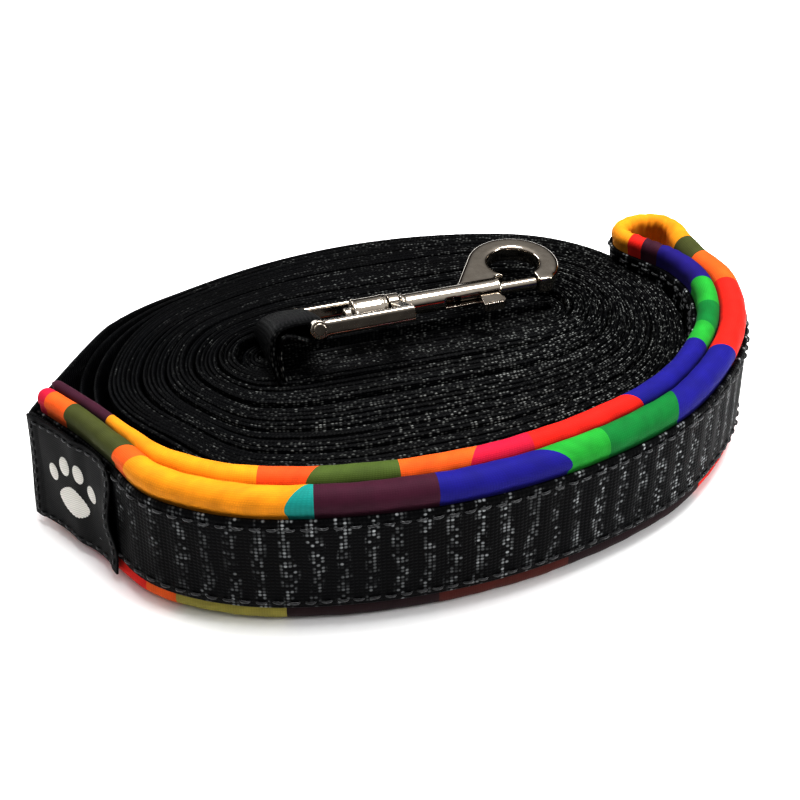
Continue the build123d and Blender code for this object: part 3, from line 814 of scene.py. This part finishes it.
def makeLoop():
    outline = stripOutline(8)
    line = curveThrough([np.array(point) for point in loop["line"]], 5)
    reach = pinAlong * webbingWide / 2 * 0.99
    rings = []
    for i, (x, up, sunk) in enumerate(line):
        before, after = line[max(i - 1, 0)], line[min(i + 1, len(line) - 1)]
        ahead = snapAlong * (after[0] - before[0]) + eyeUp * (after[1] - before[1])
        out = unit(np.cross(reach, ahead))
        sunk = min(1, max(0, sunk))
        ring = []
        for across, share in outline:
            spread = 2 * share - 1
            lift = up - loop["droop"] * abs(spread) ** 3
            point = pinPlace + snapAlong * x + eyeUp * lift + reach * spread
            point[2] += (loop["ground"] - point[2]) * sunk
            ring.append(tuple((point + out * across * loop["half"]) * mm))
        rings.append(ring)
    wrap, length = ringMesh("loop_webbing", rings)
    dress(wrap, "leash", coilWebbing, ("end_loop",))
    # below the roll both layers narrow and turn down into the slit
    legTop = pinPlace + snapAlong * -9.4 + np.array([0, 0, loop["ground"] - pinPlace[2]])
    legFoot = np.array(loop["legTo"])
    rings, widths = [], []
    for i in range(12):
        t = i / 11
        turn = smooth(t, 0.0, 0.9) * math.radians(72)
        wide = webbingWide / 2 * 0.9
        wide += (loop["legHalfWidth"] - wide) * smooth(t, 0, 0.8)
        centre = legTop + (legFoot - legTop) * t
        flat = unit(np.array([pinAlong[0], pinAlong[1], 0.0]))
        reach = wide * np.array([
            flat[0] * math.cos(turn) + flat[1] * math.sin(turn),
            -flat[0] * math.sin(turn) + flat[1] * math.cos(turn),
            0.0,
        ])
        out = unit(np.cross(reach, legFoot - legTop))
        widths.append(2 * wide)
        rings.append([
            tuple((centre + reach * (2 * share - 1) + out * across * loop["half"] * 1.9) * mm)
            for across, share in outline
        ])
    tongue, length = ringMesh("end_tongue", rings)
    dress(tongue, "leash", coilWebbing)
    flat = (round(float(np.mean(widths)) * mm, 4), round(length, 3))


makeLoop()
print("end loop made")


# lock stitches along both edges of the handle's webbing

thread = {
    "length": 2.5,                  # mm, one stitch
    "width": 0.62,
    # along, up and the next ring's size, each step of a stitch
    "steps": ((0.14, 0.45, 1.5), (0.2, 0.2, 1.12), (0.32, 0.0, 1.0), (0.2, -0.2, 0.89), (0.14, -0.45, 0.66)),
}


def makeStitch(name, length, width):
    # one stitch: rises out of the cloth, lies along it and dives back in
    clearSelection()
    bpy.ops.mesh.primitive_circle_add(
        vertices=6, radius=width * 0.3, fill_type="NGON", location=(-length / 2, 0, -width * 0.35),
        rotation=(0, math.pi / 2, 0),
    )
    stitch = bpy.context.active_object
    stitch.name = name
    bpy.ops.object.transform_apply(location=True, rotation=True, scale=False)
    bpy.ops.object.mode_set(mode="EDIT")
    x = -length / 2
    for step, rise, swell in thread["steps"]:
        bpy.ops.mesh.extrude_region_move(TRANSFORM_OT_translate={"value": (length * step, 0, width * rise)})
        x += length * step
        bpy.ops.transform.resize(value=(1, swell, swell), center_override=(x, 0, 0))
    bpy.ops.mesh.select_all(action="SELECT")
    bpy.ops.mesh.normals_make_consistent(inside=False)
    bpy.ops.object.mode_set(mode="OBJECT")
    return stitch


def sewRow(name, pattern, places):
    # copies of one stitch, each with its own mesh, then joined into one piece
    copies = []
    for place, along, out in places:
        copy = pattern.copy()
        copy.data = pattern.data.copy()
        bpy.context.scene.collection.objects.link(copy)
        up = np.cross(out, along)
        for vertex in copy.data.vertices:
            x, y, z = vertex.co
            vertex.co = Vector((place + along * x + up * y + out * z) * mm)
        copies.append(copy)
    bpy.data.objects.remove(pattern)
    clearSelection()
    for copy in copies:
        copy.select_set(True)
    bpy.context.view_layer.objects.active = copies[0]
    bpy.ops.object.join()
    copies[0].name = name
    smoothShade(copies[0], 60)
    return copies[0]


def sewHandle():
    chance = random.Random(5)
    places = []
    for height in (webbingLow + handle["stitchEdge"], webbingTop - handle["stitchEdge"]):
        for spot in np.arange(4, stripLength - 24, handle["stitchPitch"]):
            off = padHalf(spot) + 0.08 + 2 * handle["webbingHalf"] + 0.12
            off += faceRipple(spot, (height - webbingLow) / webbingWide)
            point, normal = onStrip(spot, height, off)
            tilt = chance.uniform(-0.10, 0.10)
            out = np.array([*normal, 0.0])
            along = unit(np.array([normal[1], -normal[0], tilt]))
            places.append((np.array([*point, height + chance.uniform(-0.12, 0.12)]), along, out))
    stitch = makeStitch("stitch", thread["length"], thread["width"])
    sewn = sewRow("handle_stitching_thread", stitch, places)
    dress(sewn, "leash", blackThread, ("handle_stitching",))


sewHandle()
print("handle sewn")


# the woven label over the root, with a plain paw print as its mark

tag = {
    "start": 0.3, "end": 29.3, "low": 2.6, "high": 31.0,    # mm along the strip and off the floor
    "off": 4.15,
    "thickness": 0.55,
    "curl": 1.5,                    # its free edge stands off the webbing
    "shear": 2.6,                   # its foot is drawn along by this much
    "hem": 0.35,
    "pads": [                       # x, height and half sizes of each pad of the print
        (14.6, 13.4, 5.2, 4.0), (8.2, 18.7, 1.7, 2.4), (12.3, 22.1, 1.8, 2.6), (17.1, 22.1, 1.8, 2.6),
        (21.2, 18.7, 1.7, 2.4),
    ],
}


def onLabel(x, y, z):
    # x along the label from the root's end, y above the floor, z out from its middle
    settle = 1.1 * smooth(x, 15, 21)
    curl = tag["curl"] * smooth(x, 23, tag["end"]) * (0.55 + 0.45 * math.cos(y * 0.33 + 0.6))
    wave = 0.16 * math.sin(x * 0.42 + y * 0.21)
    drawn = tag["shear"] * (tag["high"] - y) / (tag["high"] - tag["low"]) * x / tag["end"]
    point, normal = onStrip(stripLength - x - drawn, y, tag["off"] - settle + curl + wave + z)
    return np.array([*point, y]), normal


def layOnLabel(piece):
    for vertex in piece.data.vertices:
        point, _ = onLabel(*vertex.co)
        vertex.co = Vector(point * mm)
    piece.data.update()


def makeLabel():
    clearSelection()
    wide, tall = tag["end"] - tag["start"], tag["high"] - tag["low"]
    middle = ((tag["start"] + tag["end"]) / 2, (tag["low"] + tag["high"]) / 2, 0)
    bpy.ops.mesh.primitive_grid_add(x_subdivisions=46, y_subdivisions=38, size=1, location=middle)
    label = bpy.context.active_object
    label.name = "label_cloth"
    bpy.ops.object.mode_set(mode="EDIT")
    bpy.ops.mesh.select_all(action="SELECT")
    bpy.ops.transform.resize(value=(wide, tall, 1), center_override=middle)
    bpy.ops.object.mode_set(mode="OBJECT")
    bpy.ops.object.transform_apply(location=True, rotation=True, scale=True)
    places = label.data.uv_layers.new(name="weave")
    for face in label.data.loops:
        x, y, _ = label.data.vertices[face.vertex_index].co
        places.data[face.index].uv = (x * mm, y * mm)
    for vertex in label.data.vertices:
        # the folded hems at both sides are twice as thick
        x, y, _ = vertex.co
        edge = min(x - tag["start"], tag["end"] - x)
        vertex.co.z = tag["hem"] * (1 - smooth(edge, 2.2, 3.2))
    layOnLabel(label)
    wall = label.modifiers.new("cloth", "SOLIDIFY")
    wall.thickness = tag["thickness"] * mm
    wall.offset = 0
    rim = label.modifiers.new("edge", "BEVEL")
    rim.width = 0.12 * mm
    rim.segments = 2
    rim.limit_method = "ANGLE"
    rim.angle_limit = math.radians(60)
    applyModifiers(label)
    smoothShade(label, 50)
    dress(label, "leash", labelCloth, ("label", "root_tack"))


def makeMark():
    pads = []
    for x, y, halfWide, halfTall in tag["pads"]:
        clearSelection()
        bpy.ops.mesh.primitive_circle_add(vertices=28, radius=1, fill_type="TRIFAN", location=(0, 0, 0))
        pad = bpy.context.active_object
        bpy.ops.object.mode_set(mode="EDIT")
        bpy.ops.mesh.select_all(action="SELECT")
        bpy.ops.mesh.subdivide(number_cuts=2)
        bpy.ops.transform.resize(value=(halfWide, halfTall, 1), center_override=(0, 0, 0))
        bpy.ops.object.mode_set(mode="OBJECT")
        for vertex in pad.data.vertices:
            # satin stitch: crowned in the middle, dived in at the rim
            away = math.hypot(vertex.co.x / halfWide, vertex.co.y / halfTall)
            slim = 1 - 0.35 * max(0, vertex.co.y / halfTall) if halfWide > 3 else 1
            crown = 0.34 * math.sqrt(max(0, 1 - away ** 4)) - 0.06
            vertex.co = Vector((
                x + vertex.co.x * slim, y + vertex.co.y, tag["thickness"] / 2 + crown
            ))
        layOnLabel(pad)
        pads.append(pad)
    clearSelection()
    for pad in pads:
        pad.select_set(True)
    bpy.context.view_layer.objects.active = pads[0]
    bpy.ops.object.join()
    mark = pads[0]
    mark.name = "label_mark"
    wall = mark.modifiers.new("backing", "SOLIDIFY")
    wall.thickness = 0.12 * mm
    wall.offset = -1
    applyModifiers(mark)
    smoothShade(mark, 60)
    dress(mark, "leash", whiteThread)


def sewLabel():
    places = []
    inset = 1.3
    low, high = tag["low"] + inset, tag["high"] - inset
    left, right = tag["start"] + inset, tag["end"] - inset
    corners = [(left, low), (left, high), (right, high), (right, low), (left, low)]
    for (x0, y0), (x1, y1) in zip(corners, corners[1:]):
        count = round(math.hypot(x1 - x0, y1 - y0) / 2.6)
        for i in range(count):
            t = (i + 0.5) / count
            x, y = x0 + (x1 - x0) * t, y0 + (y1 - y0) * t
            edge = min(x - tag["start"], tag["end"] - x)
            lift = tag["thickness"] / 2 + tag["hem"] * (1 - smooth(edge, 2.2, 3.2)) + 0.05
            place, normal = onLabel(x, y, lift)
            ahead, _ = onLabel(x + (x1 - x0) * 0.01, y + (y1 - y0) * 0.01, lift)
            along = unit(ahead - place)
            places.append((place, along, np.array([*normal, 0.0])))
    sewn = sewRow("label_thread", makeStitch("stitch", 1.9, 0.42), places)
    dress(sewn, "leash", blackThread, ("label_stitching",))


makeLabel()
makeMark()
sewLabel()
print("label made")


# the bolt snap: zinc castings, so their edges are all softened before plating

snap = {
    "voxel": 0.24,                  # mm, the castings' finest detail
    "rounds": 5,
    "ringRounds": 60,               # the ring and the tip are rounder than the barrel
    "ringFrom": 40.0,               # mm along the snap where the ring's gusset begins
    "ringOff": 3.3,
    "tipFrom": 61.5,
    # ridges round the collar and the barrel: place along, radius and thickness
    "beads": ((12.1, 3.55, 0.45), (19.4, 3.55, 0.45), (25.0, 2.8, 0.4), (50.9, 2.75, 0.4)),
    "knobRidges": 4,
    "ridge": (0.42, 2.5, 0.12),     # a knob ridge's radius, length and rounded edge
}
snapTurn = math.atan2(snapAlong[1], snapAlong[0])


def copyOf(node):
    piece = frame["nodes"][node].copy()
    piece.data = frame["nodes"][node].data.copy()
    piece.parent = None
    for key in list(piece.keys()):
        del piece[key]
    bpy.context.scene.collection.objects.link(piece)
    makeActive(piece)
    bpy.ops.object.mode_set(mode="EDIT")
    bpy.ops.mesh.select_all(action="SELECT")
    bpy.ops.mesh.remove_doubles(threshold=0.000002)
    bpy.ops.object.mode_set(mode="OBJECT")
    return piece


def cast(piece, name, voxel, rounds, extras=(), ringRounds=0):
    # joins the parts of a casting into one skin and softens its corners, the ring's most
    clearSelection()
    for part in (piece, *extras):
        part.select_set(True)
    bpy.context.view_layer.objects.active = piece
    if extras:
        bpy.ops.object.join()
    piece.name = name
    skin = piece.modifiers.new("skin", "REMESH")
    skin.mode = "VOXEL"
    skin.voxel_size = voxel * mm
    soft = piece.modifiers.new("soft", "SMOOTH")
    soft.factor = 0.5
    soft.iterations = rounds
    applyModifiers(piece)
    if ringRounds:
        group = piece.vertex_groups.new(name="ring")
        for vertex in piece.data.vertices:
            place = np.array(vertex.co) / mm - pinPlace
            along = float(place @ snapAlong)
            side = float(place[1] * snapAlong[0] - place[0] * snapAlong[1])
            weight = smooth(side, snap["ringOff"] - 0.8, snap["ringOff"] + 0.8)
            weight *= smooth(along, snap["ringFrom"] - 4, snap["ringFrom"])
            atTip = smooth(along, snap["tipFrom"] - 0.3, snap["tipFrom"] + 0.8)
            group.add([vertex.index], max(weight, atTip), "REPLACE")
        rounder = piece.modifiers.new("round", "SMOOTH")
        rounder.factor = 0.5
        rounder.iterations = ringRounds
        rounder.vertex_group = "ring"
        applyModifiers(piece)
    makeActive(piece)
    bpy.ops.object.shade_smooth()
    return piece


def bead(along, radius, thickness):
    # a raised ring round the snap's axis
    clearSelection()
    bpy.ops.mesh.primitive_torus_add(
        major_radius=radius * mm, minor_radius=thickness * mm, major_segments=48, minor_segments=10,
        location=Vector((pinPlace + snapAlong * along) * mm), rotation=(0, math.pi / 2, snapTurn),
    )
    ring = bpy.context.active_object
    bpy.ops.object.transform_apply(location=True, rotation=True, scale=True)
    return ring


def makeSnap():
    body = copyOf("snap_hook")
    beads = [bead(*ridge) for ridge in snap["beads"]]
    body = cast(body, "snap_casting", snap["voxel"], snap["rounds"], beads, snap["ringRounds"])
    dress(body, "hook", nickel, ("snap_hook",))
    yoke = cast(copyOf("swivel_yoke"), "yoke_casting", 0.2, 6)
    dress(yoke, "eye", nickel, ("swivel_yoke",))
    pin = cast(copyOf("eye_pin"), "pin_peened", 0.16, 4)
    dress(pin, "eye", nickel, ("eye_pin",))
    ridges = []
    knobLow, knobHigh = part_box("thumb_knob")
    radius, length, edge = (size * mm for size in snap["ridge"])
    for i in range(snap["knobRidges"]):
        clearSelection()
        share = (i + 0.5) / snap["knobRidges"]
        x = knobLow[0] + 0.0007 + (knobHigh[0] - knobLow[0] - 0.0016) * share
        bpy.ops.mesh.primitive_cylinder_add(
            vertices=12, radius=radius, depth=length,
            location=(x, knobLow[1] + 0.25 * mm, pinPlace[2] * mm),
        )
        ridge = bpy.context.active_object
        bpy.ops.object.mode_set(mode="EDIT")
        bpy.ops.mesh.bevel(offset=edge, segments=2)
        bpy.ops.object.mode_set(mode="OBJECT")
        bpy.ops.object.transform_apply(location=True, rotation=True, scale=True)
        ridges.append(ridge)
    knob = cast(copyOf("thumb_knob"), "thumb_stud", 0.12, 3, ridges)
    dress(knob, "bolt", nickel, ("thumb_knob",))
    gate = frame["nodes"]["gate_pin"]
    gate.data.materials.clear()
    gate.data.materials.append(nickel)
    smoothShade(gate, 35)
    # the spring stands between the barrel's end and the bolt, which presses it as it slides; this copy keeps
    # its one shape
    spring = copyOf("bolt_spring")
    spring.name = "spring_coil"
    smoothShade(spring, 50)
    spring.data.materials.clear()
    spring.data.materials.append(springSteel)
    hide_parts("bolt_spring")
    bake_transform(spring)


makeSnap()
print("snap made")


# camera, light and floor

cameraView = {"target": (-1.6, -5.3, 12.0), "turn": 19.5, "tilt": 38.5, "distance": 310.0, "lens": 54.0}


def placeCamera():
    turn, tilt = math.radians(cameraView["turn"]), math.radians(cameraView["tilt"])
    back = Vector((-math.sin(turn) * math.cos(tilt), -math.cos(turn) * math.cos(tilt), math.sin(tilt)))
    target = Vector(cameraView["target"]) * mm
    data = bpy.data.cameras.new("camera")
    data.lens = cameraView["lens"]
    data.clip_start = 0.01
    seat = bpy.data.objects.new("camera", data)
    seat.location = target + back * cameraView["distance"] * mm
    seat.rotation_euler = (-back).to_track_quat("-Z", "Y").to_euler()
    bpy.context.scene.collection.objects.link(seat)
    bpy.context.scene.camera = seat


def softbox(name, place, aim, size, power, colour="#ffffff"):
    data = bpy.data.lights.new(name, "AREA")
    data.shape = "RECTANGLE"
    data.size, data.size_y = size
    data.energy = power
    data.color = linear(colour)[:3]
    lamp = bpy.data.objects.new(name, data)
    lamp.location = place
    lamp.rotation_euler = (Vector(aim) - Vector(place)).to_track_quat("-Z", "Y").to_euler()
    bpy.context.scene.collection.objects.link(lamp)


def makeStudio():
    clearSelection()
    bpy.ops.mesh.primitive_plane_add(size=6.0, location=(0, 0, 0))
    floor = bpy.context.active_object
    floor.name = "studio_floor"
    material, tree, shader = newMaterial("paleBackdropPaper")
    shader.inputs["Base Color"].default_value = linear("#f4f4f4")
    shader.inputs["Roughness"].default_value = 0.9
    floor.data.materials.append(material)
    world = bpy.data.worlds.new("studio")
    world.use_nodes = True
    # a dim room with a pale ceiling; the camera itself sees plain white behind the object
    tree = world.node_tree
    place = addNode(tree, "ShaderNodeTexCoord").outputs["Generated"]
    split = addNode(tree, "ShaderNodeSeparateXYZ", links={0: place})
    room = addNode(tree, "ShaderNodeValToRGB", links={0: split.outputs[2]})
    for stop, (share, shade) in zip(room.color_ramp.elements, ((0.25, "#2c2622"), (0.8, "#ffffff"))):
        stop.position = share
        stop.color = linear(shade)
    seen = addNode(tree, "ShaderNodeLightPath").outputs["Is Camera Ray"]
    shown = addNode(
        tree, "ShaderNodeMix", {7: linear("#ffffff")}, {0: seen, 6: room.outputs[0]}, data_type="RGBA"
    )
    tree.links.new(shown.outputs[2], tree.nodes["Background"].inputs[0])
    tree.nodes["Background"].inputs[1].default_value = 1.0
    bpy.context.scene.world = world
    bpy.context.scene.view_settings.view_transform = "Standard"
    bpy.context.scene.view_settings.gamma = 0.76
    softbox("overhead", (0.15, 0.1, 0.9), (0, 0, 0), (0.45, 0.45), 13.0)
    softbox("window", (0.75, -0.55, 0.55), (0, 0, 0.01), (0.3, 0.4), 6.0)
    softbox("rim", (-0.5, 0.7, 0.45), (0, 0, 0.02), (0.5, 0.25), 4.0)


placeCamera()
makeStudio()
print("studio set")
